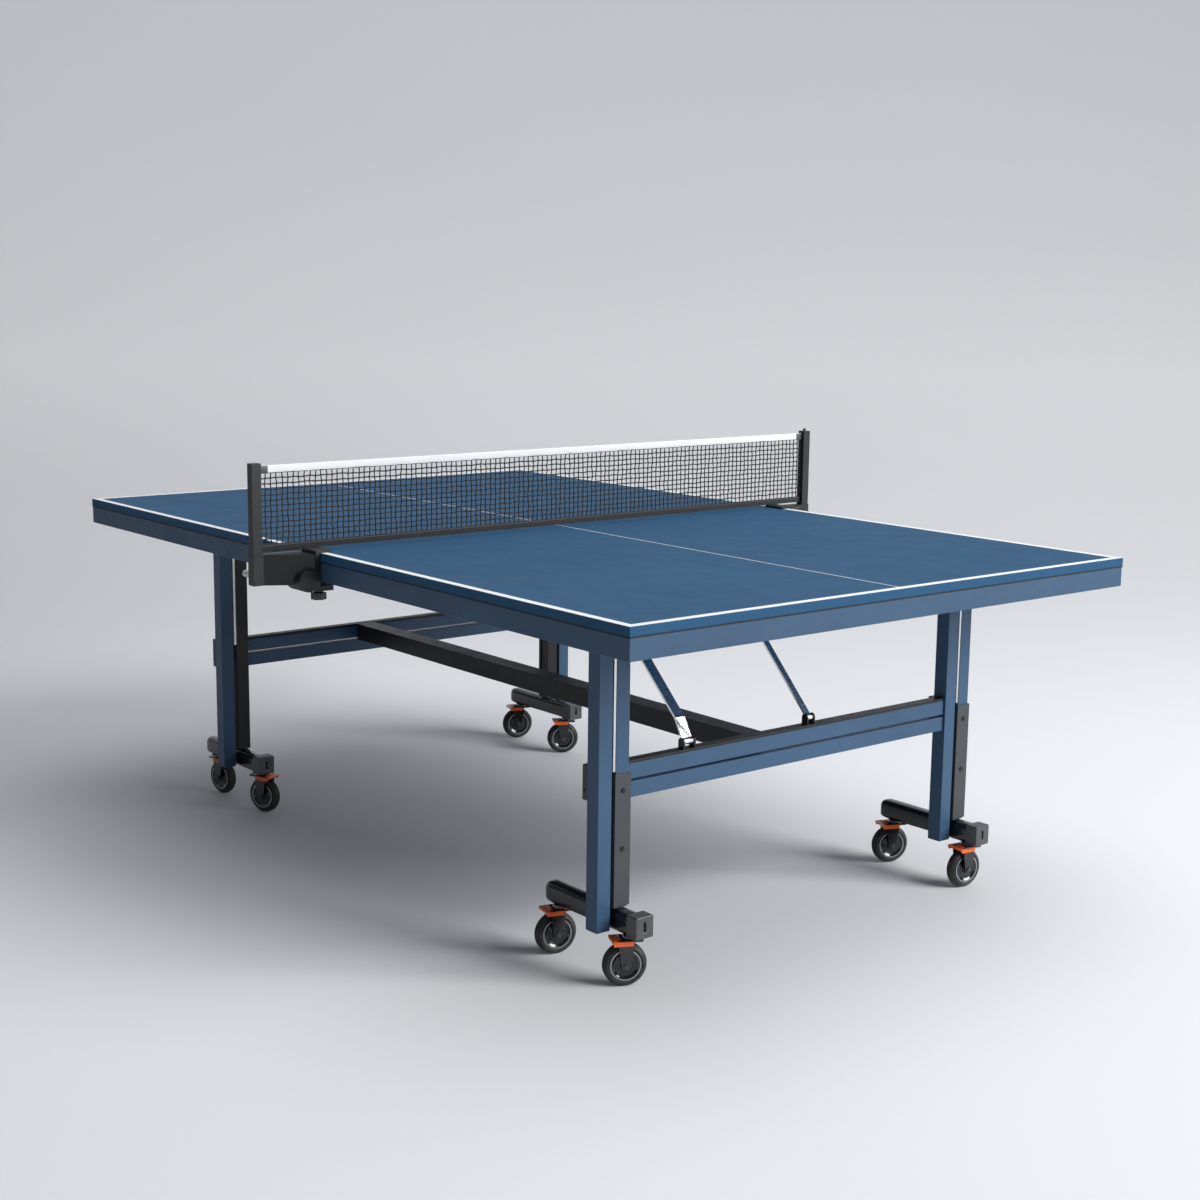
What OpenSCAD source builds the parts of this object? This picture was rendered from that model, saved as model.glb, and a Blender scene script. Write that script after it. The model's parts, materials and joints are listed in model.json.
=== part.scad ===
// Folding ping pong table on eight braked casters, with a lift-off net set.
// X runs along the table, Y across it, Z up from the floor. Sizes in mm.

/* [Overall] */
// length of the playing surface, both halves together
table_l = 2400; // [2000:10:2880]
// width of the playing surface
table_w = 1525; // [1200:5:1830]
// height of the playing surface above the floor
table_h = 830; // [690:5:1000]
// gap between the two halves under the net
half_gap = 5; // [2:1:12]

/* [Tops] */
// thickness of each board
board_t = 20; // [12:1:25]
// depth of the apron under each board
apron_d = 48; // [30:1:70]
// thickness of the apron wall
apron_t = 24; // [15:1:40]
// width of the ribs under each board
rib_w = 30; // [20:1:40]
// wall thickness of the ribs
rib_wall = 2; // [1.5:0.5:4]

/* [Legs] */
// distance of the near caster bars' middle from the end of the table
near_bar_in = 360; // [300:1:450]
// distance of the far caster bars' middle from the other end
far_bar_in = 430; // [300:1:450]
// distance of the near legs from the end of the table
near_leg_in = 300; // [280:1:400]
// distance of the far legs from the other end
far_leg_in = 447; // [380:1:480]
// distance of the caster bars from the long middle line
bar_y = 541; // [400:1:600]
// depth of each post along X
post_x = 38; // [30:1:50]
// width of each post along Y
post_y = 36; // [30:1:40]
// space between the two posts of a leg
post_gap = 10; // [6:1:20]
// wall thickness of the posts
post_wall = 3; // [2:0.5:5]
// height of the top of the cross rails, as a share of the table height
rail_share = 0.57; // [0.45:0.01:0.6]
// distance of the centre beam from the long middle line
beam_y = -140; // [-250:5:250]

/* [Casters] */
// wheel diameter
wheel_d = 96; // [75:1:115]
// wheel width
wheel_w = 26; // [20:1:32]
// distance from the swivel axis back to the axle
trail = 17; // [12:1:30]
// distance of each swivel from the middle of its bar
caster_x = 120; // [100:1:130]
// length of a caster bar
bar_l = 320; // [300:5:400]
// height of a caster bar
bar_h = 46; // [40:1:60]
// width of a caster bar
bar_w = 48; // [40:1:60]

/* [Net] */
// height of the net above the playing surface
net_h = 204; // [150:0.5:210]
// overhang of each net post past the side of the table
net_out = 128; // [120:0.5:155]
// height of the white tape
tape_h = 17; // [12:1:20]
// height of the band along the foot of the net
band_h = 15; // [10:1:30]

/* [Fits] */
// radial clearance of every turning or sliding fit
fit_gap = 0.05; // [0.02:0.01:0.1]

/* [Hidden] */
$fn = 48;
air = 0.3;                          // space between neighbouring pieces
half_l = (table_l - half_gap) / 2;
deck_z = table_h - board_t;         // underside of the boards
apron_z = deck_z - apron_d;         // underside of the aprons and ribs
hinge_z = apron_z - 14;             // fold axis height
hinge_r = 5;                        // fold pin radius
lug_r = 12;
lug_t = 12;
bar_near = table_l / 2 - near_bar_in;
bar_far = far_bar_in - table_l / 2;
leg_near = table_l / 2 - near_leg_in;
leg_far = far_leg_in - table_l / 2;
hinge_near = leg_near + post_x / 2 + 14;
hinge_far = leg_far - post_x / 2 - 14;
bar_z = wheel_d + 16;               // underside of the caster bars
post_step = (post_y + post_y) / 2 + post_gap;
post_top = hinge_z + 4;
rail_top = table_h * rail_share;
rail_w = 26;
rail_h = 34;
rail_space = 6;
strip_h = 6;
rail_hi = rail_top - strip_h - air - rail_h;
rail_lo = rail_hi - rail_space - rail_h;
sleeve_top = rail_lo + 58;
sleeve_t = 3;
beam_w = 56;
beam_h = 46;
stem_r = 6;
axle_r = 4;
axle_z = wheel_d / 2;
lever_r = 3;
lever_x = -trail - 14;
lever_z = wheel_d + 7;
pedal_z = lever_z - 1.5;             // height of the pin each pedal turns on
stay_reach = 250;                   // how far a stay leans in from its rail
stay_t = 5;
stay_pin = 4;
stay_foot_z = rail_top + 15;
catch_z = apron_z - 16;
strap_y = [-345, 215];              // wide stay of the near half and of the far half
strap_w = 26;
slim_w = 16;
slim_y = [25, 285];                 // narrow stay of the near half and of the far half
net_y = table_w / 2 + net_out;      // middle of the net posts
peg_r = 8;
peg_l = 40;
block_top = table_h - 2;
arm_z = apron_z - 6;                // underside of the arms that carry the net posts
screw_x = 33;
screw_y = table_w / 2 - 18;
screw_r = 6;
jaw_z = apron_z - 22;
clamp_x0 = half_gap / 2 + 6;         // sides of the clamps, all on one half
clamp_x1 = 75;

// each leg: x, y of the short post, side of the long post, 1 when the leg is at the near end
legs = [[leg_near, -bar_y, -1, 1], [leg_near, bar_y, -1, 1],
        [leg_far, -bar_y, -1, 0], [leg_far, bar_y, 1, 0]];

// each caster: x, y of the swivel, heading of the fork in degrees
casters = [[bar_near - caster_x, -bar_y, 74], [bar_near + caster_x, -bar_y, 64],
           [bar_near - caster_x, bar_y, 68], [bar_near + caster_x, bar_y, 82],
           [bar_far - caster_x, -bar_y, -168], [bar_far + caster_x, -bar_y, -158],
           [bar_far - caster_x, bar_y, 70], [bar_far + caster_x, bar_y, 60]];

blue = [0.20, 0.33, 0.48];
navy = [0.12, 0.20, 0.30];
black = [0.05, 0.05, 0.06];
grey = [0.20, 0.21, 0.23];
steel = [0.75, 0.76, 0.78];
white = [0.93, 0.94, 0.95];
orange = [0.92, 0.40, 0.16];

// ---- shared shapes ----

// box given by its two corners
module box(a, b) {
    translate(a) cube([b[0] - a[0], b[1] - a[1], b[2] - a[2]]);
}

// square tube standing on z0
module tube_z(x, y, z0, z1, wx, wy, wall) {
    difference() {
        box([x - wx / 2, y - wy / 2, z0], [x + wx / 2, y + wy / 2, z1]);
        box([x - wx / 2 + wall, y - wy / 2 + wall, z0 - 1],
            [x + wx / 2 - wall, y + wy / 2 - wall, z1 + 1]);
    }
}

module rod_y(x, y0, y1, z, r) {
    translate([x, y0, z]) rotate([-90, 0, 0]) cylinder(h = y1 - y0, r = r);
}

module rod_x(x0, x1, y, z, r) {
    translate([x0, y, z]) rotate([0, 90, 0]) cylinder(h = x1 - x0, r = r);
}

// ---- legs and undercarriage ----

module long_posts() {
    color(blue) for (g = legs)
        tube_z(g[0], g[1] + g[2] * post_step, bar_z + air, post_top, post_x, post_y, post_wall);
}

module short_post(g) {
    tube_z(g[0], g[1], bar_z + bar_h + air, post_top, post_x, post_y, post_wall);
}

module short_posts_near() {
    color(blue) for (g = legs) if (g[3] == 1) short_post(g);
}

module short_posts_far() {
    color(black) for (g = legs) if (g[3] == 0) short_post(g);
}

// dark cover over the lower outer face of each short post, with lips round its corners
module post_sleeves() {
    lip = 5;
    color(grey) for (g = legs) {
        out = g[3] == 1 ? 1 : -1;
        translate([g[0], g[1], 0]) rotate([0, 0, out == 1 ? 0 : 180])
            difference() {
                box([post_x / 2 - lip, -post_y / 2 - air - sleeve_t, bar_z + bar_h + 4],
                    [post_x / 2 + air + sleeve_t, post_y / 2 + air + sleeve_t, sleeve_top]);
                box([post_x / 2 - lip - 1, -post_y / 2 - air, bar_z],
                    [post_x / 2 + air, post_y / 2 + air, sleeve_top + 1]);
            }
    }
}

// bright strips that close the slot between the two posts above the rails
module guide_strips() {
    color(steel) for (g = legs) {
        y = g[1] + g[2] * post_step / 2;
        box([g[0] + post_x / 2 - 8, y - post_gap / 2 + air + sleeve_t, sleeve_top + 6],
            [g[0] + post_x / 2 - 1, y + post_gap / 2 - air, post_top - 6]);
    }
}

// plates across the top of each pair of posts
module leg_heads() {
    color(navy) for (g = legs) {
        y = g[1] + g[2] * post_step / 2;
        wide = (post_step + post_y) / 2;
        box([g[0] - post_x / 2, y - wide, post_top + air], [g[0] + post_x / 2, y + wide, apron_z - 2]);
    }
}

// faces between which the cross rails of one leg pair run
function rail_y0(x) = -bar_y + post_y / 2 + air;
function rail_y1(x) = bar_y - post_y / 2 - air - (x > 0 ? post_step : 0);

module rails() {
    color(blue) for (x = [leg_near, leg_far], z = [rail_lo, rail_hi])
        difference() {
            box([x - rail_w / 2, rail_y0(x), z], [x + rail_w / 2, rail_y1(x), z + rail_h]);
            box([x - rail_w / 2 + 2, rail_y0(x) - 1, z + 2],
                [x + rail_w / 2 - 2, rail_y1(x) + 1, z + rail_h - 2]);
        }
}

module rail_strips() {
    color(black) for (x = [leg_near, leg_far])
        box([x - rail_w / 2, rail_y0(x), rail_top - strip_h], [x + rail_w / 2, rail_y1(x), rail_top]);
}

// open channel joining the two pairs of rails
module centre_beam() {
    x0 = leg_far + rail_w / 2 + air;
    x1 = leg_near - rail_w / 2 - air;
    color(black) difference() {
        box([x0, beam_y - beam_w / 2, rail_top - beam_h], [x1, beam_y + beam_w / 2, rail_top]);
        box([x0 - 1, beam_y - beam_w / 2 + 3, rail_top - beam_h - 1],
            [x1 + 1, beam_y + beam_w / 2 - 3, rail_top - 3]);
    }
}

module caster_bars() {
    color(black) for (x = [bar_near, bar_far], y = [-bar_y, bar_y])
        difference() {
            union() {
                box([x - bar_l / 2 + bar_w / 2, y - bar_w / 2 + 3.4, bar_z],
                    [x + bar_l / 2 - 34, y + bar_w / 2 - 3.4, bar_z + bar_h]);
                translate([x - bar_l / 2 + bar_w / 2, y, bar_z])
                    cylinder(h = bar_h, r = bar_w / 2 - 3.4);
            }
            for (s = [-1, 1]) translate([x + s * caster_x, y, bar_z - 1])
                cylinder(h = 39, r = stem_r + fit_gap);
        }
}

module bar_caps() {
    color(grey) for (x = [bar_near, bar_far], y = [-bar_y, bar_y])
        difference() {
            box([x + bar_l / 2 - 34 + air, y - bar_w / 2, bar_z],
                [x + bar_l / 2, y + bar_w / 2, bar_z + bar_h + 3]);
            box([x + bar_l / 2 - 6, y - 3, bar_z + 14], [x + bar_l / 2 + 1, y + 3, bar_z + 36]);
        }
}

// ---- fold hinges ----

// two ears on the outer face of each leg, with the fold pin held between them
module hinge_ears() {
    ear_t = 5;
    color(grey) for (g = legs) {
        out = g[3] == 1 ? 1 : -1;
        hx = g[3] == 1 ? hinge_near : hinge_far;
        for (s = [-1, 1]) {
            y = g[1] + s * (lug_t / 2 + 0.5 + ear_t / 2);
            difference() {
                union() {
                    rod_y(hx, y - ear_t / 2, y + ear_t / 2, hinge_z, lug_r);
                    box([min(g[0] + out * (post_x / 2 + air), hx), y - ear_t / 2, hinge_z - lug_r],
                        [max(g[0] + out * (post_x / 2 + air), hx), y + ear_t / 2, hinge_z + lug_r]);
                }
                rod_y(hx, y - ear_t, y + ear_t, hinge_z, hinge_r + fit_gap);
            }
        }
    }
}

module hinge_pins() {
    color(steel) for (g = legs)
        rod_y(g[3] == 1 ? hinge_near : hinge_far, g[1] - 15, g[1] + 15, hinge_z, hinge_r);
}

// small dark screws on the outer faces of the legs
module frame_bolts() {
    color(black) for (g = legs) {
        out = g[3] == 1 ? 1 : -1;
        face = post_x / 2 + air + sleeve_t + air;
        for (z = [sleeve_top - 36, bar_z + bar_h + 130])
            rod_x(g[0] + min(out * face, out * (face + 2)), g[0] + max(out * face, out * (face + 2)),
                  g[1], z, 5);
    }
}

// drilled latch plates on the far-end face of each long post, at rail height
module latch_plates() {
    color(grey) for (g = legs) {
        y = g[1] + g[2] * post_step;
        face = g[0] - post_x / 2 - air;
        difference() {
            box([face - 18, y - 16, rail_lo], [face, y + 16, rail_top - 4]);
            rod_y(face - 10, y - 17, y + 17, rail_lo + 22, 3);
        }
    }
}

// pairs of small ears on top of the rails that carry the feet of the stays
module stay_brackets() {
    color(black) for (end = [0, 1], s = [[strap_y[end], strap_w], [slim_y[end], slim_w]]) {
        x = end == 0 ? leg_near : leg_far;
        for (k = [-1, 1]) {
            y = s[0] + k * (s[1] / 2 + 0.5 + 2);
            box([x - 9, y - 2, rail_top + air], [x + 9, y + 2, stay_foot_z]);
            rod_y(x, y - 2, y + 2, stay_foot_z, 9);
        }
        rod_y(x, s[0] - s[1] / 2 - 4, s[0] + s[1] / 2 + 4, stay_foot_z, stay_pin);
    }
}

// ---- the two halves ----

// s is 1 for the half at positive x and -1 for the other
module board(s) {
    x0 = half_gap / 2;
    color(blue) mirror([s == 1 ? 0 : 1, 0, 0])
        box([x0, -table_w / 2, deck_z], [x0 + half_l, table_w / 2, table_h]);
}

module apron(s) {
    x0 = half_gap / 2 + 1;
    x1 = table_l / 2 - 1;
    color(blue) mirror([s == 1 ? 0 : 1, 0, 0])
        difference() {
            box([x0, -table_w / 2 + 1, apron_z], [x1, table_w / 2 - 1, deck_z - air]);
            box([x0 + apron_t, -table_w / 2 + 1 + apron_t, apron_z - 1],
                [x1 - apron_t, table_w / 2 - 1 - apron_t, deck_z]);
        }
}

// two long ribs over the legs and one cross rib over the stays
module ribs(s) {
    x0 = half_gap / 2 + 1 + apron_t + air;
    x1 = table_l / 2 - 1 - apron_t - air;
    leg = s == 1 ? leg_near : -leg_far;
    cx = leg - stay_reach;
    color(navy) mirror([s == 1 ? 0 : 1, 0, 0]) {
        for (y = [-bar_y, bar_y]) difference() {
            box([x0, y - rib_w / 2, apron_z], [x1, y + rib_w / 2, deck_z - air]);
            box([x0 - 1, y - rib_w / 2 + rib_wall, apron_z + rib_wall],
                [x1 + 1, y + rib_w / 2 - rib_wall, deck_z - air - rib_wall]);
        }
        difference() {
            box([cx - rib_w / 2, -bar_y + rib_w / 2 + air, apron_z],
                [cx + rib_w / 2, bar_y - rib_w / 2 - air, deck_z - air]);
            box([cx - rib_w / 2 + rib_wall, -bar_y, apron_z + rib_wall],
                [cx + rib_w / 2 - rib_wall, bar_y, deck_z - air - rib_wall]);
        }
    }
}

// fold lugs under the long ribs and open catches under the cross rib
module fittings(s) {
    end = s == 1 ? 0 : 1;
    hx = s == 1 ? hinge_near : -hinge_far;
    leg = s == 1 ? leg_near : -leg_far;
    cx = leg - stay_reach;
    color(grey) mirror([s == 1 ? 0 : 1, 0, 0]) {
        for (y = [-bar_y, bar_y]) difference() {
            union() {
                rod_y(hx, y - lug_t / 2, y + lug_t / 2, hinge_z, lug_r - 0.5);
                box([hx - 8, y - lug_t / 2, hinge_z], [hx + 11, y + lug_t / 2, apron_z - air]);
            }
            rod_y(hx, y - lug_t, y + lug_t, hinge_z, hinge_r + fit_gap);
        }
        for (c = [[strap_y[end], strap_w], [slim_y[end], slim_w]], k = [-1, 1]) {
            y = c[0] + k * (c[1] / 2 + 0.8 + 2.5);
            difference() {
                box([cx - 13, y - 2.5, catch_z - 12], [cx + 13, y + 2.5, apron_z - air]);
                box([cx - stay_pin - air, y - 3.5, catch_z - 13],
                    [cx + stay_pin + air, y + 3.5, catch_z]);
                rod_y(cx, y - 3.5, y + 3.5, catch_z, stay_pin + air);
            }
        }
    }
}

// ---- stays ----

// wide strap with a bend above its foot
module strap(s) {
    leg = s == 1 ? leg_near : -leg_far;
    cx = leg - stay_reach;
    bend_x = leg - 26;
    bend_z = stay_foot_z + 46;
    width = strap_w;
    y = strap_y[s == 1 ? 0 : 1];
    color(steel) mirror([s == 1 ? 0 : 1, 0, 0])
        difference() {
            union() {
                bar_between(leg, stay_foot_z, bend_x, bend_z, y, width);
                bar_between(bend_x, bend_z, cx, catch_z, y, width);
                rod_y(leg, y - width / 2, y + width / 2, stay_foot_z, 7.5);
                rod_y(cx, y - width / 2 - 6, y + width / 2 + 6, catch_z, stay_pin);
            }
            rod_y(leg, y - width, y + width, stay_foot_z, stay_pin + fit_gap);
        }
}

module slim_stay(s) {
    leg = s == 1 ? leg_near : -leg_far;
    cx = leg - stay_reach;
    width = slim_w;
    y = slim_y[s == 1 ? 0 : 1];
    color(steel) mirror([s == 1 ? 0 : 1, 0, 0])
        difference() {
            union() {
                bar_between(leg, stay_foot_z, cx, catch_z, y, width);
                rod_y(leg, y - width / 2, y + width / 2, stay_foot_z, 7.5);
                rod_y(cx, y - width / 2 - 6, y + width / 2 + 6, catch_z, stay_pin);
            }
            rod_y(leg, y - width, y + width, stay_foot_z, stay_pin + fit_gap);
        }
}

// flat bar lying across Y, from one point to another in the XZ plane
module bar_between(x0, z0, x1, z1, y, width) {
    lean = atan2(z1 - z0, x1 - x0);
    reach = norm([x1 - x0, z1 - z0]);
    translate([x0, y, z0]) rotate([0, -lean, 0])
        translate([0, -width / 2, -stay_t / 2]) cube([reach, width, stay_t]);
    rod_y(x1, y - width / 2, y + width / 2, z1, stay_t / 2 + 1);
}

// ---- net set ----

// s is -1 for the side at negative y and 1 for the other
module net_bracket(s) {
    edge = table_w / 2;
    jaw_t = 12;
    post = 13;                      // half the width of the arm at the net post
    color(black) mirror([0, s == 1 ? 0 : 1, 0])
        difference() {
            union() {
                translate([0, 0, arm_z]) linear_extrude(block_top - arm_z)
                    polygon([[-post, edge + 4], [clamp_x1, edge + 4], [post, net_y - post],
                             [post, net_y + post], [-post, net_y + post]]);
                box([clamp_x0, edge + 0.8, jaw_z], [clamp_x1, edge + jaw_t, table_h + 6]);
                box([clamp_x0, edge - 28, table_h + 0.5], [clamp_x1, edge + jaw_t, table_h + 6]);
                box([clamp_x0, edge - 34, jaw_z], [clamp_x1, edge + jaw_t, jaw_z + jaw_t]);
                rod_x(clamp_x0, clamp_x1, edge + 30, arm_z + 10, 26);
                rod_x(-post - 40, -post + 1, net_y, arm_z + 22, 8);
            }
            translate([0, net_y, block_top - peg_l - 1]) cylinder(h = peg_l + 2, r = peg_r + fit_gap);
            translate([screw_x, screw_y, jaw_z - 1]) cylinder(h = jaw_t + 2, r = screw_r + fit_gap);
        }
}

module clamp_screw(s) {
    knob_r = 18;
    color(grey) mirror([0, s == 1 ? 0 : 1, 0]) translate([screw_x, screw_y, 0]) {
        translate([0, 0, jaw_z - 12]) cylinder(h = apron_z - 4 - jaw_z + 12, r = screw_r);
        translate([0, 0, apron_z - 6]) cylinder(h = 5.4, r = 10);
        translate([0, 0, jaw_z - 26]) {
            cylinder(h = 16, r = knob_r - 3);
            for (a = [0 : 60 : 300]) rotate([0, 0, a]) translate([knob_r - 4, 0, 0])
                cylinder(h = 16, r = 4.5);
        }
    }
}

// the two posts with their pegs, which stand in the sockets of the brackets
module net_posts() {
    color(black) for (s = [-1, 1]) {
        box([-11, s * net_y - 12, block_top + air], [11, s * net_y + 12, table_h + net_h + 6]);
        translate([0, s * net_y, block_top - peg_l]) cylinder(h = peg_l + 1, r = peg_r);
    }
    // catch pin on top of the right post
    color(black) translate([0, net_y, table_h + net_h + 5]) cylinder(h = 8, r = 4);
}

net_side = net_y - 12 - air;        // ends of the cloth, against the posts
cloth_t = 1.2;

module net_cloth() {
    color(black) box([-cloth_t / 2, -net_side, table_h + 4 + band_h + air],
                     [cloth_t / 2, net_side, table_h + net_h - tape_h - air]);
}

module net_band() {
    color(black) box([-1.5, -net_side, table_h + 4], [1.5, net_side, table_h + 4 + band_h]);
}

module net_tape() {
    color(white) box([-1.8, -net_side, table_h + net_h - tape_h], [1.8, net_side, table_h + net_h]);
}

// ---- casters ----

module at_caster(n) {
    c = casters[n - 1];
    translate([c[0], c[1], 0]) rotate([0, 0, c[2]]) children();
}

// the cheeks taper from the crown down to the axle
module fork(n) {
    cheek_t = 4;
    inner = wheel_w / 2 + 4;        // inner face of each cheek
    crown_z = wheel_d + 4.5;
    color(black) at_caster(n) {
        cylinder_at(0, crown_z, bar_z - air, 19);
        cylinder_at(0, bar_z - 4, bar_z + 34, stem_r);
        box([lever_x + 9, -inner - cheek_t, crown_z], [19, inner + cheek_t, crown_z + 5]);
        for (s = [-1, 1]) {
            y = s * (inner + cheek_t / 2);
            hull() {
                box([lever_x - 4, y - cheek_t / 2, crown_z - 3], [0, y + cheek_t / 2, crown_z + 5]);
                rod_y(-trail, y - cheek_t / 2, y + cheek_t / 2, axle_z, 10);
            }
        }
        rod_y(lever_x, -inner - 1, inner + 1, pedal_z, lever_r);
        rod_y(-trail, -inner - 6, inner + 6, axle_z, axle_r);
    }
}

module cylinder_at(x, z0, z1, r) {
    translate([x, 0, z0]) cylinder(h = z1 - z0, r = r);
}

// hub and tyre, with a raised rim ring on both sides
module wheel(n) {
    tyre = wheel_d / 2 - 12;
    color(black) at_caster(n) translate([-trail, 0, axle_z]) rotate([-90, 0, 0]) {
        rotate_extrude($fn = 64)
            polygon([[axle_r + fit_gap, -wheel_w / 2 - 3], [12, -wheel_w / 2 - 3],
                     [14, -wheel_w / 2 + 2], [27, -wheel_w / 2 + 4], [30, -wheel_w / 2 - 0.5],
                     [tyre - 1, -wheel_w / 2 - 0.5], [tyre - 1, wheel_w / 2 + 0.5],
                     [30, wheel_w / 2 + 0.5], [27, wheel_w / 2 - 4], [14, wheel_w / 2 - 2],
                     [12, wheel_w / 2 + 3], [axle_r + fit_gap, wheel_w / 2 + 3]]);
        rotate_extrude($fn = 64)
            polygon([[tyre - 1 + air, -wheel_w / 2 + 1], [tyre + 6, -wheel_w / 2],
                     [wheel_d / 2 - 2, -wheel_w / 2 + 4], [wheel_d / 2, -wheel_w / 2 + 8],
                     [wheel_d / 2, wheel_w / 2 - 8], [wheel_d / 2 - 2, wheel_w / 2 - 4],
                     [tyre + 6, wheel_w / 2], [tyre - 1 + air, wheel_w / 2 - 1]]);
    }
}

// orange brake pedal that turns on the rear pin of the fork, with a skirt outside each cheek
module lever(n) {
    half = wheel_w / 2 + 2;
    skirt = wheel_w / 2 + 4 + 4 + 0.4;  // inner face of each skirt
    skirt_t = 4;
    color(orange) at_caster(n) difference() {
        union() {
            rod_y(lever_x, -half, half, pedal_z, lever_r + 2.5);
            box([lever_x - 16, -half, lever_z - 4], [lever_x, half, lever_z + 1]);
            box([lever_x - 16, -skirt - skirt_t, lever_z - 4], [lever_x - 5, skirt + skirt_t, lever_z + 1]);
            for (s = [-1, 1]) {
                y = s * (skirt + skirt_t / 2);
                box([lever_x - 14, y - skirt_t / 2, lever_z - 9],
                    [lever_x + 28, y + skirt_t / 2, lever_z + 1]);
            }
        }
        rod_y(lever_x, -half - 1, half + 1, pedal_z, lever_r + fit_gap);
    }
}

long_posts();
short_posts_near();
short_posts_far();
post_sleeves();
guide_strips();
leg_heads();
rails();
rail_strips();
centre_beam();
caster_bars();
bar_caps();
hinge_ears();
hinge_pins();
frame_bolts();
latch_plates();
stay_brackets();
board(1);  // board_a
apron(1);  // apron_a
ribs(1);  // ribs_a
fittings(1);  // fittings_a
board(-1);  // board_b
apron(-1);  // apron_b
ribs(-1);  // ribs_b
fittings(-1);  // fittings_b
strap(1);  // strap_a
slim_stay(1);  // slim_stay_a
strap(-1);  // strap_b
slim_stay(-1);  // slim_stay_b
net_bracket(-1);  // net_bracket_l
net_bracket(1);  // net_bracket_r
clamp_screw(-1);  // clamp_screw_l
clamp_screw(1);  // clamp_screw_r
net_posts();
net_cloth();
net_band();
net_tape();
fork(1);  // fork_1
fork(2);  // fork_2
fork(3);  // fork_3
fork(4);  // fork_4
fork(5);  // fork_5
fork(6);  // fork_6
fork(7);  // fork_7
fork(8);  // fork_8
wheel(1);  // wheel_1
wheel(2);  // wheel_2
wheel(3);  // wheel_3
wheel(4);  // wheel_4
wheel(5);  // wheel_5
wheel(6);  // wheel_6
wheel(7);  // wheel_7
wheel(8);  // wheel_8
lever(1);  // lever_1
lever(2);  // lever_2
lever(3);  // lever_3
lever(4);  // lever_4
lever(5);  // lever_5
lever(6);  // lever_6
lever(7);  // lever_7
lever(8);  // lever_8
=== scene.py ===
import json
import math
import random

import bmesh
import bpy
from mathutils import Matrix, Vector


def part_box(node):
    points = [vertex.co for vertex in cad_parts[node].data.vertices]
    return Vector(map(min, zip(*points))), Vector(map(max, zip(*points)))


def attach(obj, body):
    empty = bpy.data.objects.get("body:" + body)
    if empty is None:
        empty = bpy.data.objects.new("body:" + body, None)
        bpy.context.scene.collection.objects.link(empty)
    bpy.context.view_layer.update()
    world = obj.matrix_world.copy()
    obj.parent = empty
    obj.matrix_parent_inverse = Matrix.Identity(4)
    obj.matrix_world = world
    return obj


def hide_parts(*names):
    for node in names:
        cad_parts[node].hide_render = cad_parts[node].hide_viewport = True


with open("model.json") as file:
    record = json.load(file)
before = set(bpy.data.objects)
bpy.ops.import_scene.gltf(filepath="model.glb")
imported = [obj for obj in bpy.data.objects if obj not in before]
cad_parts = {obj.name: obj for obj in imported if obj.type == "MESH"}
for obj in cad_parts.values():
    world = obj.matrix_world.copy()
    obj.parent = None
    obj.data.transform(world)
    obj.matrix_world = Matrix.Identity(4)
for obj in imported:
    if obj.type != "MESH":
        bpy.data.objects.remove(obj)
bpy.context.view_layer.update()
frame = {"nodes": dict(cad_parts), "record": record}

RNG = random.Random(7)
JOINT = {j["name"]: j for j in frame["record"]["behaviour"]["joints"]}

# ---------------------------------------------------------------- camera

VIEW_AZIMUTH = 50.994  # degrees, shared by the camera and the backdrop behind the table


def camera(place, azimuth, elevation, roll, lens):
    a, e, r = math.radians(azimuth), math.radians(elevation), math.radians(roll)
    back = Vector((math.sin(a) * math.cos(e), -math.cos(a) * math.cos(e), math.sin(e)))
    right = (-back).cross(Vector((0, 0, 1))).normalized()
    up = right.cross(-back)
    right, up = right * math.cos(r) + up * math.sin(r), up * math.cos(r) - right * math.sin(r)
    data = bpy.data.cameras.new("camera")
    data.lens, data.sensor_width, data.clip_end = lens, 36, 200
    cam = bpy.data.objects.new("camera", data)
    turn = Matrix((right, up, back)).transposed().to_4x4()
    cam.matrix_world = Matrix.Translation(place) @ turn
    bpy.context.collection.objects.link(cam)
    bpy.context.scene.camera = cam


camera((3.79565, -2.9370, 1.47255), VIEW_AZIMUTH, 9.918, 0.708, 55.497)

# ---------------------------------------------------------------- materials


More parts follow.
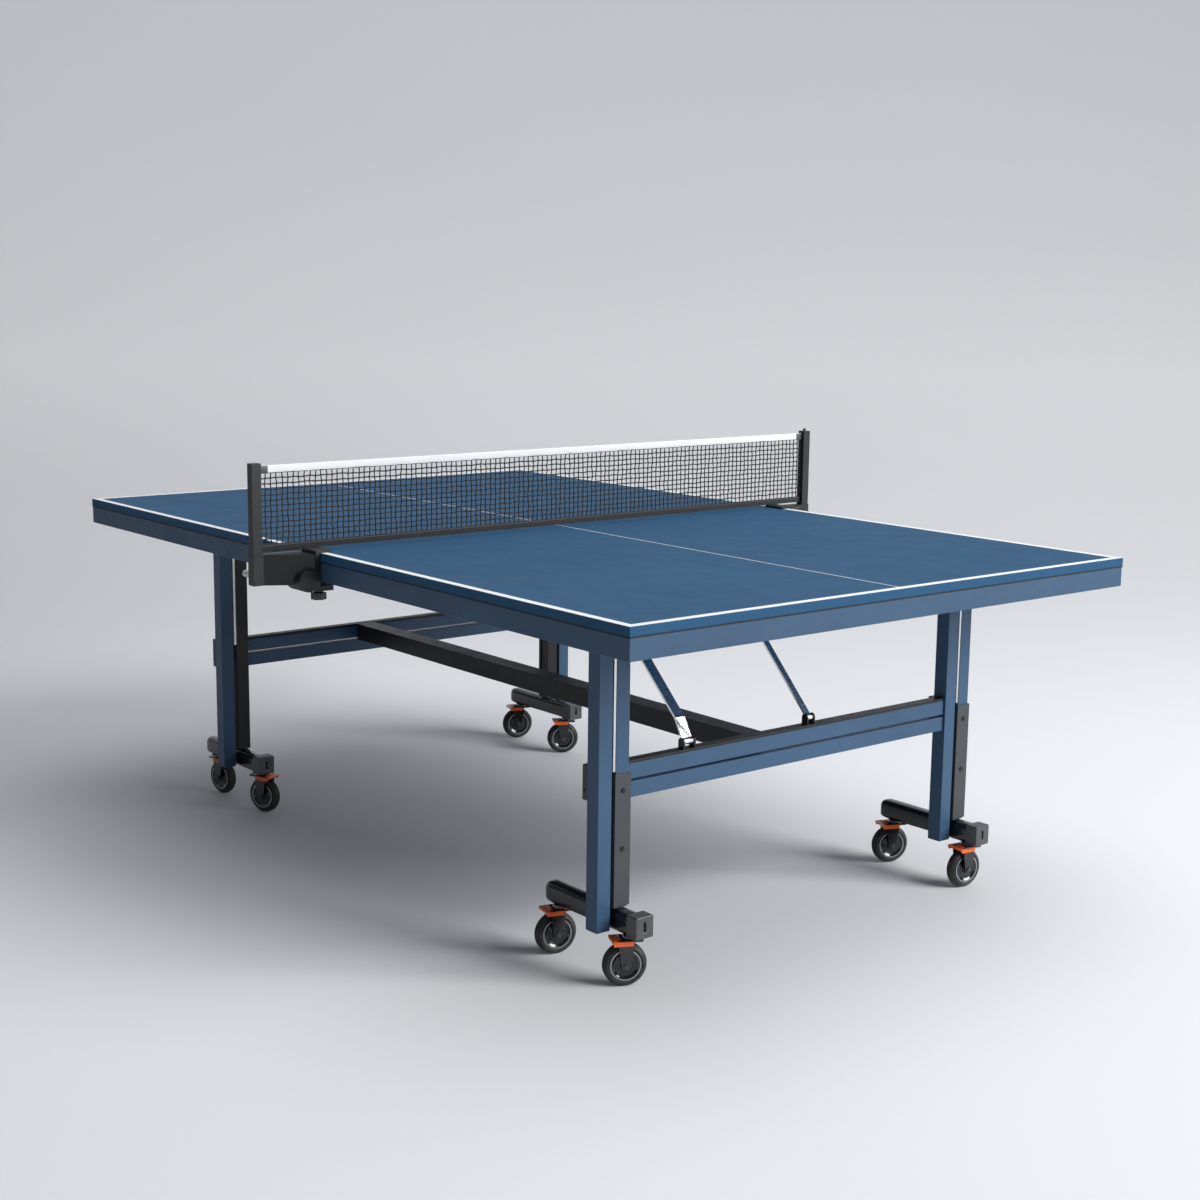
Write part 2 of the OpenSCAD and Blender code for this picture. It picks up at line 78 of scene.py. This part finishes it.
class Nodes:
    """Short hand for a material's node tree."""

    def __init__(self, name):
        self.mat = bpy.data.materials.new(name)
        self.mat.use_nodes = True
        self.tree = self.mat.node_tree
        self.bsdf = self.tree.nodes["Principled BSDF"]
        self.place = self.add("ShaderNodeTexCoord").outputs["Object"]

    def add(self, kind, **values):
        n = self.tree.nodes.new(kind)
        for k, v in values.items():
            setattr(n, k, v)
        return n

    def link(self, a, b):
        self.tree.links.new(a, b)

    def scaled(self, scale):
        m = self.add("ShaderNodeMapping")
        m.inputs["Scale"].default_value = scale
        self.link(self.place, m.inputs["Vector"])
        return m.outputs["Vector"]

    def noise(self, scale, detail=3.0, rough=0.55, stretch=(1, 1, 1)):
        n = self.add("ShaderNodeTexNoise")
        n.inputs["Scale"].default_value = scale
        n.inputs["Detail"].default_value = detail
        n.inputs["Roughness"].default_value = rough
        self.link(self.scaled(stretch), n.inputs["Vector"])
        return n.outputs["Fac"]

    def ramp(self, fac, *stops):
        r = self.add("ShaderNodeValToRGB")
        e = r.color_ramp.elements
        for i, (at, c) in enumerate(stops):
            el = e[i] if i < 2 else e.new(at)
            el.position = at
            el.color = (*c, 1) if hasattr(c, "__len__") else (c, c, c, 1)
        self.link(fac, r.inputs["Fac"])
        return r.outputs["Color"]

    def bump(self, height, strength, distance, under=None):
        b = self.add("ShaderNodeBump")
        b.inputs["Strength"].default_value = strength
        b.inputs["Distance"].default_value = distance
        self.link(height, b.inputs["Height"])
        if under is not None:
            self.link(under, b.inputs["Normal"])
        return b.outputs["Normal"]

    def math(self, op, a, b=None):
        m = self.add("ShaderNodeMath", operation=op)
        for k, v in enumerate((a, b)):
            if v is None:
                continue
            if isinstance(v, (int, float)):
                m.inputs[k].default_value = v
            else:
                self.link(v, m.inputs[k])
        return m.outputs[0]

    def mix(self, fac, a, b):
        m = self.add("ShaderNodeMix", data_type="RGBA")
        for sock, v in ((m.inputs["Factor"], fac), (m.inputs["A"], a), (m.inputs["B"], b)):
            if hasattr(v, "is_linked"):
                self.link(v, sock)
            elif hasattr(v, "__len__"):
                sock.default_value = (*v, 1)
            else:
                sock.default_value = v
        return m.outputs["Result"]

    def edges(self, lo, hi):
        """1 on outer edges and 0 on flat faces: the mask of the painted edge highlight."""
        g = self.add("ShaderNodeNewGeometry").outputs["Pointiness"]
        return self.ramp(g, (lo, 0.0), (hi, 1.0))

    def out(self, color=None, rough=None, normal=None, **values):
        for k, v in values.items():
            self.bsdf.inputs[k.replace("_", " ")].default_value = v
        for name, v in (("Base Color", color), ("Roughness", rough), ("Normal", normal)):
            if v is not None:
                self.link(v, self.bsdf.inputs[name])
        return self.mat


def shade(rgb, k):
    return tuple(min(1, c * k) for c in rgb)


def powder_coat(name, rgb, rough=0.42, grain=900, edge=0.35):
    """Painted steel: fine orange peel, a little cloudiness and a painted highlight on the outer edges."""
    n = Nodes(name)
    cloud = n.ramp(n.noise(5, 4), (0.3, shade(rgb, 0.88)), (0.7, shade(rgb, 1.10)))
    # painted highlight: the outer edges are lightened towards 1.9 times the paint colour
    painted_edge_highlight = n.math("MULTIPLY", n.edges(0.52, 0.62), edge)
    color = n.mix(painted_edge_highlight, cloud, shade(rgb, 1.9))
    r = n.ramp(n.noise(40, 5), (0.3, rough - 0.05), (0.7, rough + 0.08))
    peel = n.bump(n.noise(grain, 2), 0.12, 0.0004)
    return n.out(color, r, n.bump(n.noise(25, 3), 0.05, 0.001, peel), Specular_IOR_Level=0.32)


def playing_paint(name, rgb):
    """Matte table paint over board: very fine grain, faint roller clouds and dust."""
    n = Nodes(name)
    cloud = n.ramp(n.noise(2.2, 5), (0.25, shade(rgb, 0.93)), (0.75, shade(rgb, 1.07)))
    fine = n.ramp(n.noise(700, 3), (0.35, 0.0), (0.7, 1.0))
    color = n.mix(n.math("MULTIPLY", fine, 0.05), cloud, shade(rgb, 1.8))
    r = n.ramp(n.noise(14, 5), (0.3, 0.58), (0.7, 0.68))
    return n.out(color, r, n.bump(n.noise(1600, 2), 0.10, 0.0002), Specular_IOR_Level=0.18)


def line_paint(name):
    n = Nodes(name)
    color = n.ramp(n.noise(60, 5), (0.3, (0.74, 0.76, 0.78)), (0.7, (0.86, 0.87, 0.88)))
    return n.out(color, n.ramp(n.noise(200, 2), (0.3, 0.5), (0.7, 0.62)),
                 n.bump(n.noise(1200, 2), 0.1, 0.0002))


def moulded(name, rgb, rough=0.5, grain=700, depth=0.25, coat=0.0):
    """Moulded plastic with a fine spark-eroded grain."""
    n = Nodes(name)
    color = n.ramp(n.noise(12, 4), (0.3, shade(rgb, 0.85)), (0.7, shade(rgb, 1.18)))
    r = n.ramp(n.noise(90, 4), (0.3, rough - 0.07), (0.7, rough + 0.08))
    return n.out(color, r, n.bump(n.noise(grain, 2, 0.6), depth, 0.0003), Coat_Weight=coat,
                 Coat_Roughness=0.12)


def brushed(name, rgb, rough=0.24, along=(1, 1, 0.03)):
    n = Nodes(name)
    streak = n.noise(700, 3, 0.6, along)
    color = n.ramp(streak, (0.3, shade(rgb, 0.82)), (0.7, rgb))
    r = n.ramp(streak, (0.3, rough), (0.75, rough + 0.16))
    return n.out(color, r, n.bump(streak, 0.10, 0.0002), Metallic=1.0)


def tyre_rubber(name):
    n = Nodes(name)
    dust = n.ramp(n.noise(55, 6, 0.7), (0.45, (0.012, 0.012, 0.013)), (0.8, (0.055, 0.054, 0.052)))
    return n.out(dust, n.ramp(n.noise(30, 4), (0.3, 0.48), (0.7, 0.68)),
                 n.bump(n.noise(500, 4), 0.25, 0.0004))


def woven(name, rgb, pitch=0.0011, rough=0.85, vary=0.3):
    """Plain weave across Y and Z."""
    n = Nodes(name)
    sep = n.add("ShaderNodeSeparateXYZ")
    n.link(n.place, sep.inputs[0])
    turn = 2 * math.pi / pitch
    warp = n.math("SINE", n.math("MULTIPLY", sep.outputs["Y"], turn))
    weft = n.math("SINE", n.math("MULTIPLY", sep.outputs["Z"], turn))
    cell = n.math("MULTIPLY", warp, weft)
    lit = n.ramp(n.math("MULTIPLY_ADD", cell, 0.5), (0.0, shade(rgb, 1 - vary)), (1.0, rgb))
    color = n.mix(n.math("MULTIPLY", n.noise(35, 4), 0.25), lit, shade(rgb, 0.8))
    return n.out(color, n.ramp(n.noise(300, 2), (0.3, rough - 0.1), (0.7, rough)),
                 n.bump(cell, 0.35, 0.0003), Sheen_Weight=0.2)


BLUE = (0.034, 0.080, 0.150)
M = {
    "top": playing_paint("table_paint", (0.016, 0.074, 0.158)),
    "line": line_paint("line_paint"),
    "blue": powder_coat("blue_coat", BLUE, 0.40),
    "apron": powder_coat("apron_coat", (0.032, 0.074, 0.138), 0.46),
    "navy": powder_coat("navy_coat", (0.018, 0.040, 0.080), 0.45),
    "black": powder_coat("black_coat", (0.012, 0.013, 0.015), 0.36),
    "gloss": moulded("bar_gloss", (0.004, 0.0042, 0.005), 0.20, 300, 0.03, 0.5),
    "grey": powder_coat("grey_coat", (0.045, 0.050, 0.055), 0.42),
    "cap": moulded("cap_plastic", (0.062, 0.066, 0.072), 0.36),
    "steel": brushed("bright_steel", (0.62, 0.63, 0.65)),
    "chrome": brushed("stay_chrome", (0.90, 0.90, 0.92), 0.16, (1, 0.03, 1)),
    "plastic": moulded("black_plastic", (0.009, 0.010, 0.011), 0.42),
    "post_face": moulded("grey_plastic", (0.060, 0.063, 0.068), 0.45),
    "hub": moulded("hub_plastic", (0.006, 0.006, 0.008), 0.16, 300, 0.04, 0.8),
    "ring": brushed("rim_ring", (0.42, 0.43, 0.45), 0.26, (1, 1, 1)),
    "tyre": tyre_rubber("tyre_rubber"),
    "orange": moulded("orange_plastic", (0.86, 0.135, 0.020), 0.34, 500, 0.12, 0.3),
    "cord": woven("net_cord", (0.006, 0.006, 0.007), 0.0008),
    "band": woven("net_band_cloth", (0.010, 0.011, 0.013)),
    "tape": woven("net_tape_cloth", (0.84, 0.85, 0.87), 0.0010, 0.8, 0.10),
    "stitch": woven("tape_thread", (0.62, 0.63, 0.65), 0.0006),
    # dark plastic of the frame bolts, also the painted shadow strip at the seam of board and apron
    "dark": moulded("dark_bolts_and_seam_shadow", (0.006, 0.006, 0.008), 0.7),
}

# ---------------------------------------------------------------- mesh tools


class Shape:
    """Collects simple closed forms into one detailed mesh."""

    def __init__(self):
        self.bm = bmesh.new()

    def box(self, lo, hi, bevel=0.0, segments=2):
        lo, hi = Vector(lo), Vector(hi)
        made = bmesh.ops.create_cube(self.bm, size=1)["verts"]
        for v in made:
            v.co = (lo + hi) / 2 + Vector(a * b for a, b in zip(v.co, hi - lo))
        if bevel:
            bmesh.ops.bevel(self.bm, geom=list({e for v in made for e in v.link_edges}),
                            offset=bevel, segments=segments, affect="EDGES", profile=0.5)
        return self

    def ring(self, lo, hi, wide, bevel=0.0):
        """Four bars round a rectangle in X and Y, inside it."""
        (x0, y0, z0), (x1, y1, z1) = lo, hi
        self.box((x0, y0, z0), (x1, y0 + wide, z1), bevel)
        self.box((x0, y1 - wide, z0), (x1, y1, z1), bevel)
        self.box((x0, y0 + wide, z0), (x0 + wide, y1 - wide, z1), bevel)
        return self.box((x1 - wide, y0 + wide, z0), (x1, y1 - wide, z1), bevel)

    def tube(self, points, radius, sides=6):
        """Round cord along a line of points."""
        rings = []
        pts = [Vector(p) for p in points]
        for i, p in enumerate(pts):
            d = (pts[min(i + 1, len(pts) - 1)] - pts[max(i - 1, 0)]).normalized()
            across = Vector((1, 0, 0)) if abs(d.x) < 0.9 else Vector((0, 0, 1))
            side = d.cross(across).normalized()
            other = d.cross(side)
            rings.append([self.bm.verts.new(p + radius * (math.cos(t) * side + math.sin(t) * other))
                          for t in (2 * math.pi * k / sides for k in range(sides))])
        for a, b in zip(rings, rings[1:]):
            for k in range(sides):
                self.bm.faces.new((a[k], a[(k + 1) % sides], b[(k + 1) % sides], b[k]))
        self.bm.faces.new(rings[0][::-1])
        self.bm.faces.new(rings[-1])
        return self

    def lathe(self, profile, place, axis, steps=96):
        """Closed profile of (radius, distance along the axis) turned about an axis."""
        axis = Vector(axis).normalized()
        across = Vector((0, 0, 1)) if abs(axis.z) < 0.9 else Vector((1, 0, 0))
        side = axis.cross(across).normalized()
        other = axis.cross(side)
        rows = []
        for k in range(steps):
            t = 2 * math.pi * k / steps
            out = math.cos(t) * side + math.sin(t) * other
            rows.append([self.bm.verts.new(Vector(place) + r * out + h * axis) for r, h in profile])
        n = len(profile)
        for k in range(steps):
            a, b = rows[k], rows[(k + 1) % steps]
            for i in range(n):
                j = (i + 1) % n
                self.bm.faces.new((a[i], a[j], b[j], b[i]))
        return self

    def hexagon(self, place, axis, radius, height):
        axis = Vector(axis).normalized()
        turn = axis.to_track_quat("Z", "Y").to_matrix().to_4x4()
        made = bmesh.ops.create_cone(
            self.bm, cap_ends=True, segments=6, radius1=radius, radius2=radius, depth=height,
            matrix=Matrix.Translation(Vector(place) + axis * height / 2) @ turn)["verts"]
        bmesh.ops.bevel(self.bm, geom=list({e for v in made for e in v.link_edges}),
                        offset=radius * 0.12, segments=2, affect="EDGES")
        return self

    def done(self, name, material, body, slot, *nodes, smooth=True):
        bmesh.ops.recalc_face_normals(self.bm, faces=self.bm.faces)
        mesh = bpy.data.meshes.new(name)
        self.bm.to_mesh(mesh)
        self.bm.free()
        mesh.materials.append(M[material])
        o = bpy.data.objects.new(name, mesh)
        bpy.context.collection.objects.link(o)
        if smooth:
            mesh.polygons.foreach_set("use_smooth", [True] * len(mesh.polygons))
            mark_sharp(mesh)
        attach(o, body)
        if nodes:
            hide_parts(*nodes)
        return o


def mark_sharp(mesh, angle=math.radians(38)):
    bm = bmesh.new()
    bm.from_mesh(mesh)
    for e in bm.edges:
        if len(e.link_faces) == 2 and e.calc_face_angle(0) > angle:
            e.smooth = False
    bm.to_mesh(mesh)
    bm.free()


WELD_DISTANCE, BEVEL_SEGMENTS, BEVEL_ANGLE = 0.00002, 3, math.radians(35)


def soften(node, width):
    """Rounds the drawn edges of a CAD node, whose own mesh stays as it is."""
    o = frame["nodes"][node]
    weld = o.modifiers.new("weld", "WELD")
    weld.merge_threshold = WELD_DISTANCE
    bevel = o.modifiers.new("bevel", "BEVEL")
    bevel.width, bevel.segments, bevel.limit_method = width, BEVEL_SEGMENTS, "ANGLE"
    bevel.angle_limit, bevel.harden_normals = BEVEL_ANGLE, True


def finish_node(node, material, width):
    """Gives a CAD node its material, and rounded edges where a width is given."""
    o = frame["nodes"][node]
    for s in o.material_slots:
        s.material = M[material]
    if width:
        soften(node, width)


# ---------------------------------------------------------------- CAD nodes that are shown

# the clamp screws take no bevel: it throws a spike from the lobes of clamp_screw_r
for names, material, width in (
    ("board_a board_b", "top", 0.0015),
    ("apron_a apron_b", "apron", 0.0020),
    ("ribs_a ribs_b leg_heads", "navy", 0.0015),
    ("long_posts short_posts_near rails", "blue", 0.0012),
    ("short_posts_far centre_beam stay_brackets rail_strips", "black", 0.0012),
    ("bar_caps", "cap", 0.0040),
    ("post_sleeves latch_plates", "grey", 0.0010),
    ("hinge_ears fittings_a fittings_b", "grey", 0.0008),
    ("guide_strips hinge_pins", "steel", 0.0005),
    ("strap_a strap_b slim_stay_a slim_stay_b", "chrome", 0.0010),
    ("net_bracket_l net_bracket_r", "plastic", 0.0030),
    ("clamp_screw_l clamp_screw_r", "post_face", 0),
    ("net_posts", "plastic", 0.0020),
    ("frame_bolts", "dark", 0.0005),
):
    for node in names.split():
        finish_node(node, material, width)
for k in range(1, 9):
    finish_node(f"fork_{k}", "hub", 0.0010)
    finish_node(f"lever_{k}", "orange", 0.0012)

# ---------------------------------------------------------------- tops: lines and a painted shadow at the seam

LINE, CENTRE, LIFT, SINK = 0.020, 0.003, 0.00012, 0.0003
EDGE = 0.0016  # from the rim of the board to the paint, past the rounded edge
for tag in "ab":
    (x0, y0, z0), (x1, y1, z1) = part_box(f"board_{tag}")
    body, out = f"half_{tag}", 1 if tag == "a" else -1
    end, inner = (x1, x0) if out > 0 else (x0, x1)
    lo, hi = sorted((end, end - out * LINE))
    near, far = min(inner, end - out * LINE), max(inner, end - out * LINE)
    end_line = ((lo + (EDGE if out < 0 else 0), y0 + EDGE), (hi - (EDGE if out > 0 else 0), y1 - EDGE))
    left_line = ((near, y0 + EDGE), (far, y0 + LINE))
    right_line = ((near, y1 - LINE), (far, y1 - EDGE))
    centre_line = ((near, -CENTRE / 2), (far, CENTRE / 2))
    s = Shape()
    for a, b in (end_line, left_line, right_line, centre_line):
        s.box((*a, z1 - SINK), (*b, z1 + LIFT))
    s.done(f"lines_{tag}", "line", body, "board_wood", smooth=False)
    # painted shade: a thin dark strip round the top of the apron stands for the shadow in the gap under the
    # board
    (ax0, ay0, az0), (ax1, ay1, az1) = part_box(f"apron_{tag}")
    g = 0.0005
    Shape().ring((ax0 - g, ay0 - g, az1 - 0.0026), (ax1 + g, ay1 + g, az1 + 0.0002), 0.004).done(
        f"seam_shadow_{tag}", "dark", body, "apron_wood", smooth=False)

# ---------------------------------------------------------------- net

(nx0, ny0, nz0), (nx1, ny1, nz1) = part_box("net_cloth")
ROWS, COLS, CORD = 13, 118, 0.0015
KNOT = Vector((0.0020, 0.0021, 0.0021))


def wander(size):
    return RNG.uniform(-size, size)


grid = [[Vector((wander(0.0004), ny0 + (ny1 - ny0) * c / COLS + (wander(0.0016) if 0 < c < COLS else 0),
                 nz0 + (nz1 - nz0) * r / ROWS + (wander(0.0011) if 0 < r < ROWS else 0)))
         for c in range(COLS + 1)] for r in range(ROWS + 1)]
net = Shape()
for r in range(ROWS + 1):
    net.tube(grid[r], CORD, 6)
for c in range(COLS + 1):
    net.tube([grid[r][c] for r in range(ROWS + 1)], CORD, 6)
for r in range(1, ROWS):
    for c in range(1, COLS):
        p = grid[r][c]
        net.box(p - KNOT, p + KNOT, 0.0009, 1)
net = net.done("net_mesh", "cord", "net_set", "net_fabric", "net_cloth")

(tx0, ty0, tz0), (tx1, ty1, tz1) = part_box("net_tape")
tape = Shape()
STEPS = 120
rows = []
for k in range(STEPS + 1):
    y = ty0 + (ty1 - ty0) * k / STEPS
    w = 0.00022 * math.sin(k * 0.9) + wander(0.00012)
    rows.append([Vector((x, y, z + (wander(0.00012) if z < tz1 - 0.001 else 0))) for x, z in (
        (0.0016 + w, tz0), (0.0018, tz0 + 0.006), (0.0018, tz1 - 0.0028), (0.0014, tz1 - 0.0009),
        (0.0, tz1), (-0.0014, tz1 - 0.0009), (-0.0018, tz1 - 0.0028), (-0.0018, tz0 + 0.006),
        (-0.0016 + w, tz0))])
verts = [[tape.bm.verts.new(p) for p in row] for row in rows]
for a, b in zip(verts, verts[1:]):
    for i in range(len(a)):
        j = (i + 1) % len(a)
        tape.bm.faces.new((a[i], a[j], b[j], b[i]))
tape.bm.faces.new(verts[0][::-1])
tape.bm.faces.new(verts[-1])
tape = tape.done("tape_cover", "tape", "net_set", "tape_fabric", "net_tape")

STITCHES = 360
stitch = Shape()
for side in (-1, 1):
    for k in range(STITCHES):
        y = ty0 + 0.004 + (ty1 - ty0 - 0.008) * k / STITCHES
        stitch.box((side * 0.0019 - 0.0003, y, tz0 + 0.0024),
                   (side * 0.0019 + 0.0003, y + 0.0028, tz0 + 0.0032))
stitch = stitch.done("tape_stitching", "stitch", "net_set", "tape_fabric", smooth=False)

(bx0, by0, bz0), (bx1, by1, bz1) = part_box("net_band")
band = Shape().box((bx0, by0, bz0), (bx1, by1, bz1), 0.0009, 3)
band = band.done("band_cover", "band", "net_set", "band_fabric", "net_band")
hem = Shape().box((bx0 - 0.0003, by0, bz1 - 0.0030), (bx1 + 0.0003, by1, bz1 - 0.0012), 0.0003, 1)
hem = hem.done("band_hem", "post_face", "net_set", "band_fabric")

# grey tabs that hold the ends of the tape, and grey outer faces on the posts
tabs, faces = Shape(), Shape()
for s in (-1, 1):
    y_in = s * (abs(ty1) - 0.022)
    tabs.box((-0.0026, min(y_in, s * ty1), tz0 - 0.001), (0.0026, max(y_in, s * ty1), tz1 - 0.0006), 0.0008)
    (px0, py0, pz0), (px1, py1, pz1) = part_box("net_posts")
    y_lo, y_hi = sorted((s * py1, s * (py1 - 0.0012)))
    faces.box((px0 + 0.001, y_lo, pz0 + 0.048), (px1 - 0.001, y_hi, pz1 - 0.012), 0.0004)
tabs.done("tape_tabs", "post_face", "net_set", "tape_fabric")
faces.done("post_covers", "post_face", "net_set", "black_plastic")

# ---------------------------------------------------------------- casters


def caster(k):
    spin, swivel = JOINT[f"spin_{k}"], JOINT[f"swivel_{k}"]
    centre, axis = Vector(spin["pos_m"]), Vector(spin["axis"]).normalized()
    wheel = f"wheel_body_{k}"
    (_, _, low), (_, _, high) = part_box(f"wheel_{k}")
    radius = (high - low) / 2
    rim, half = radius - 0.0128, 0.013
    tread = [(rim + 0.0006, -half + 0.0012), (rim + 0.004, -half + 0.0002), (radius - 0.006, -half + 0.0018),
             (radius - 0.0016, -half + 0.0056), (radius - 0.0001, -half + 0.0092),
             (radius - 0.0001, -0.0016), (radius - 0.0012, -0.0009), (radius - 0.0012, 0.0009),
             (radius - 0.0001, 0.0016), (radius - 0.0001, half - 0.0092), (radius - 0.0016, half - 0.0056),
             (radius - 0.006, half - 0.0018), (rim + 0.004, half - 0.0002), (rim + 0.0006, half - 0.0012)]
    Shape().lathe(tread, centre, axis).done(f"tyre_{k}", "tyre", wheel, "wheel_rubber", f"wheel_{k}")
    hub = []
    for s in (-1, 1):
        side = [(0.0050, 0.0155), (0.0105, 0.0155), (0.0118, 0.0140), (0.0128, 0.0108), (0.0165, 0.0100),
                (0.0172, 0.0109), (0.0184, 0.0109), (0.0191, 0.0097), (0.0226, 0.0092), (0.0233, 0.0102),
                (0.0246, 0.0102), (0.0254, 0.0094), (0.0290, 0.0110), (0.0318, 0.0128), (rim, 0.0128)]
        side = [(r, s * h) for r, h in side]
        hub += side if s < 0 else side[::-1]
    Shape().lathe(hub, centre, axis).done(f"hub_{k}", "hub", wheel, "wheel_rubber")
    ring = Shape()
    for s in (-1, 1):
        ring.lathe([(rim - 0.0042, s * 0.0126), (rim - 0.0012, s * 0.0126),
                    (rim - 0.0012, s * 0.0134), (rim - 0.0042, s * 0.0134)], centre, axis)
    ring.done(f"rim_ring_{k}", "ring", wheel, "wheel_rubber")
    bolts = Shape()
    for s in (-1, 1):
        bolts.hexagon(centre + axis * s * 0.0208, axis * s, 0.0068, 0.0030)
    bolts.done(f"axle_nuts_{k}", "grey", f"fork_body_{k}", "grey_metal")
    # bearing cup above the crown
    top = Vector((swivel["pos_m"][0], swivel["pos_m"][1], 0))
    cup = [(0.0150, 0.1062), (0.0212, 0.1062), (0.0218, 0.1074), (0.0212, 0.1086), (0.0150, 0.1086)]
    Shape().lathe(cup, top, (0, 0, 1), 64).done(f"race_{k}", "steel", f"fork_body_{k}", "bright_steel")


for k in range(1, 9):
    caster(k)

# caster bars: rounded section with a domed end


BAR_HALF, BAR_BACK, BAR_FRONT, DOME, DOME_RINGS = 0.0206, 0.1592, 0.126, 0.020, 8


def bar_row(half, low, high, top_r=0.015, low_r=0.008, steps=6):
    """Outline of a bar in Y and Z, with wide rounds above and small ones below."""
    row = []
    for cy, cz, r, start in ((half - top_r, high - top_r, top_r, 0),
                             (top_r - half, high - top_r, top_r, 90),
                             (low_r - half, low + low_r, low_r, 180),
                             (half - low_r, low + low_r, low_r, 270)):
        for i in range(steps + 1):
            t = math.radians(start + 90 * i / steps)
            row.append((cy + r * math.cos(t), cz + r * math.sin(t)))
    return row


bars = Shape()
(_, _, bar_lo), (_, _, bar_hi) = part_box("caster_bars")
for k in (1, 3, 5, 7):
    a, b = JOINT[f"swivel_{k}"]["pos_m"], JOINT[f"swivel_{k + 1}"]["pos_m"]
    mid, y = (a[0] + b[0]) / 2, a[1]
    x0, x1 = mid - BAR_BACK, mid + BAR_FRONT
    rings = []
    for i in range(DOME_RINGS + 1):
        t = math.radians(90 * i / DOME_RINGS)
        rings.append((x0 + DOME * (1 - math.cos(t)), 0.80 + 0.20 * math.sin(t)))
    rings.append((x1, 1.0))
    full = bar_row(BAR_HALF, bar_lo, bar_hi)
    middle = (bar_lo + bar_hi) / 2
    rows = [[bars.bm.verts.new((x, y + py * g, middle + (pz - middle) * g)) for py, pz in full]
            for x, g in rings]
    for p, q in zip(rows, rows[1:]):
        for i in range(len(p)):
            j = (i + 1) % len(p)
            bars.bm.faces.new((p[i], q[i], q[j], p[j]))
    bars.bm.faces.new(rows[0])
    bars.bm.faces.new(rows[-1][::-1])
bars.done("caster_bar_covers", "gloss", "frame", "black_metal", "caster_bars")

# ---------------------------------------------------------------- small fixed details

LEG_Y, PIN_HALF = 0.541, 0.0152
PIN_HEAD = [(0.001, -0.0006), (0.0068, -0.0006), (0.0068, 0.0008), (0.0050, 0.0022), (0.001, 0.0022)]
details = Shape()
for j in ("fold_a", "fold_b"):
    x, _, z = JOINT[j]["pos_m"]
    for y in (-LEG_Y, LEG_Y):
        for s in (-1, 1):
            details.lathe(PIN_HEAD, (x, y + s * PIN_HALF, z), (0, s, 0), 32)
details.done("pin_heads", "steel", "frame", "bright_steel")

# steel sleeves on the stub rods of the net brackets
SLEEVE = [(0.0040, 0.0002), (0.0072, 0.0002), (0.0084, 0.0014), (0.0084, 0.0388), (0.0040, 0.0388)]
ROD_IN, ROD_UP = 0.013, 0.038  # rod axis from the bracket's outer side and from its foot
rods = Shape()
for side in "lr":
    (x0, y0, z0), (x1, y1, z1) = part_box(f"net_bracket_{side}")
    y = y0 + ROD_IN if side == "l" else y1 - ROD_IN
    rods.lathe(SLEEVE, (x0, y, z0 + ROD_UP), (1, 0, 0), 48)
rods.done("bracket_rods", "steel", "half_a", "black_plastic")

# ---------------------------------------------------------------- floor, light


# painted light: glow of the backdrop by distance behind the table, in units of 20 m, in place of lamp light
# on the paper
BACKDROP_PAINTED_LIGHT = ((0.0, 0.0), (0.15, 0.03), (0.45, (0.275, 0.28, 0.29)), (1.0, (0.315, 0.33, 0.345)))


def backdrop():
    bm = bmesh.new()
    a = math.radians(VIEW_AZIMUTH)
    away = Vector((-math.sin(a), math.cos(a), 0))
    side = Vector((away.y, -away.x, 0))
    line = [(-14, 0), (2, 0)] + [(4 + 16 * math.sin(t), 16 - 16 * math.cos(t)) for t in
                                 (math.radians(3 * i) for i in range(31))] + [(20, 40)]
    rows = [[bm.verts.new(away * d + side * w + Vector((0, 0, h))) for w in (-40, 40)] for d, h in line]
    for p, q in zip(rows, rows[1:]):
        bm.faces.new((p[0], q[0], q[1], p[1]))
    bmesh.ops.recalc_face_normals(bm, faces=bm.faces)
    mesh = bpy.data.meshes.new("backdrop")
    bm.to_mesh(mesh)
    bm.free()
    for p in mesh.polygons:
        p.use_smooth = True
    n = Nodes("studio_paper")
    color = n.ramp(n.noise(0.4, 2), (0.3, (0.68, 0.695, 0.72)), (0.7, (0.70, 0.715, 0.74)))
    # painted light: the far part glows a little, in place of lamp light on the paper
    back = n.add("ShaderNodeVectorMath", operation="DOT_PRODUCT")
    n.link(n.place, back.inputs[0])
    back.inputs[1].default_value = away
    painted_glow = n.ramp(n.math("MULTIPLY", back.outputs["Value"], 0.05), *BACKDROP_PAINTED_LIGHT)
    n.link(painted_glow, n.bsdf.inputs["Emission Color"])
    n.bsdf.inputs["Emission Strength"].default_value = 1
    mesh.materials.append(n.out(color, n.ramp(n.noise(9, 3), (0.3, 0.85), (0.7, 0.95)),
                                n.bump(n.noise(400, 2), 0.03, 0.0003), Specular_IOR_Level=0.15))
    o = bpy.data.objects.new("backdrop", mesh)
    bpy.context.collection.objects.link(o)


backdrop()


def area_light(name, place, aim, size, power, color=(1, 1, 1)):
    data = bpy.data.lights.new(name, "AREA")
    data.shape, data.size, data.size_y = "RECTANGLE", size[0], size[1]
    data.energy, data.color = power, color
    o = bpy.data.objects.new(name, data)
    o.location = place
    o.rotation_euler = (Vector(aim) - Vector(place)).to_track_quat("-Z", "Y").to_euler()
    bpy.context.collection.objects.link(o)


area_light("key", (8.4, 4.5, 5.3), (0, 0, 0.4), (6, 6), 1380, (1.0, 0.99, 0.975))
area_light("top", (0.5, 0.8, 6.5), (0, 0, 0), (6, 6), 235, (0.97, 0.98, 1.0))
area_light("fill", (-3.5, -6.5, 3.0), (0, 0, 0.5), (4, 4), 8, (0.92, 0.95, 1.0))
world = bpy.data.worlds.new("studio")
bpy.context.scene.world = world
world.use_nodes = True
world.node_tree.nodes["Background"].inputs["Color"].default_value = (0.80, 0.83, 0.87, 1)
world.node_tree.nodes["Background"].inputs["Strength"].default_value = 0.12
bpy.context.scene.view_settings.view_transform = "Standard"
